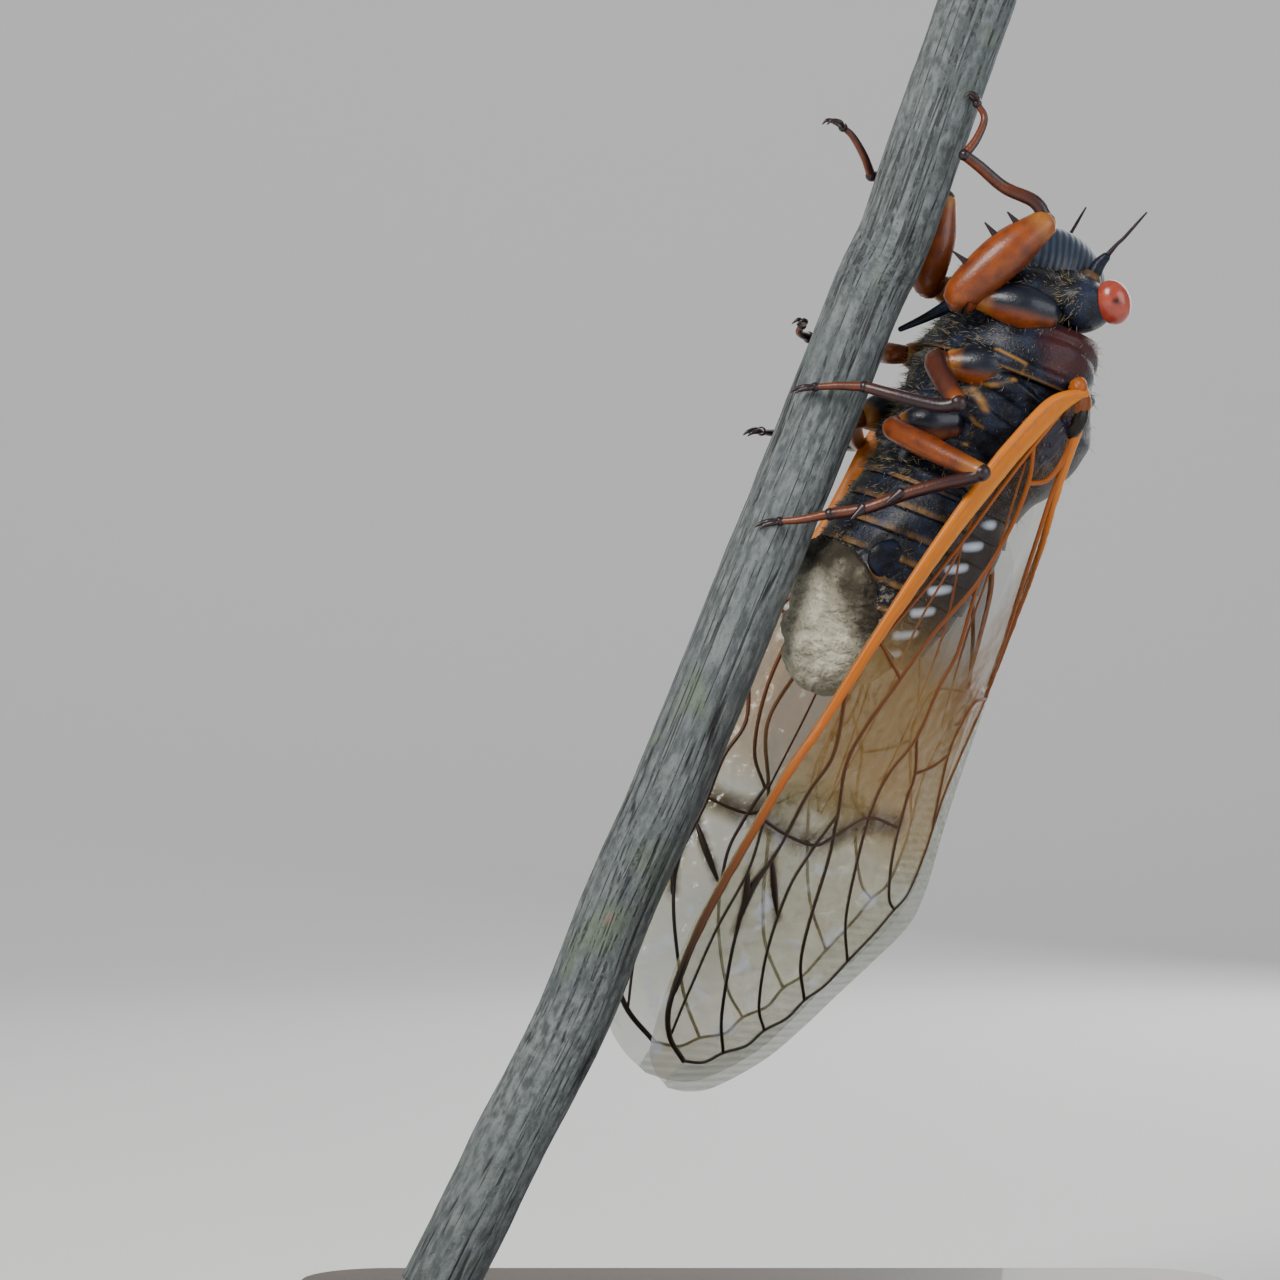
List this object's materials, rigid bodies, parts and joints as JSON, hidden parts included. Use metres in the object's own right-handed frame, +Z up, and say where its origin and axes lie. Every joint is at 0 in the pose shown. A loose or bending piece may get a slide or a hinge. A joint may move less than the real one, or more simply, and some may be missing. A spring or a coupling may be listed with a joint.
{
  "type": "periodical cicada on a twig",
  "caption": "Life-size still model of a periodical cicada clinging head up to a leaning twig over a dark wooden base, wings folded roof-like.",
  "frame": {"origin": "centre of the base's underside on the floor", "axes": "+Z up, +Y away from the viewer of the picture, +X to that viewer's right"},
  "size_m": [0.046, 0.038, 0.0651],
  "materials": {
    "shell": "blue-black glossy body shell",
    "eye": "orange-red eyes",
    "amber": "amber and brown legs",
    "plug": "chalky cream spore mass",
    "wing": "amber tinted membrane with brown veins",
    "bark": "grey bark",
    "base": "dark satin wood",
    "rod": "brushed brass"
  },
  "bodies": {
    "root": {"head": "shell", "eye_left": "eye", "eye_right": "eye", "antenna_left": "shell", "antenna_right": "shell", "rostrum": "shell", "pronotum": "shell", "thorax": "shell", "abdomen": "shell", "spore_plug": "plug", "forewing_left": "wing", "forewing_right": "wing", "hindwing_left": "wing", "hindwing_right": "wing", "leg_fore_left": "amber", "leg_fore_right": "amber", "leg_mid_left": "amber", "leg_mid_right": "amber", "leg_hind_left": "amber", "leg_hind_right": "amber", "twig": "bark", "stand_base": "base", "stand_rod": "rod"}
  },
  "joints": []
}
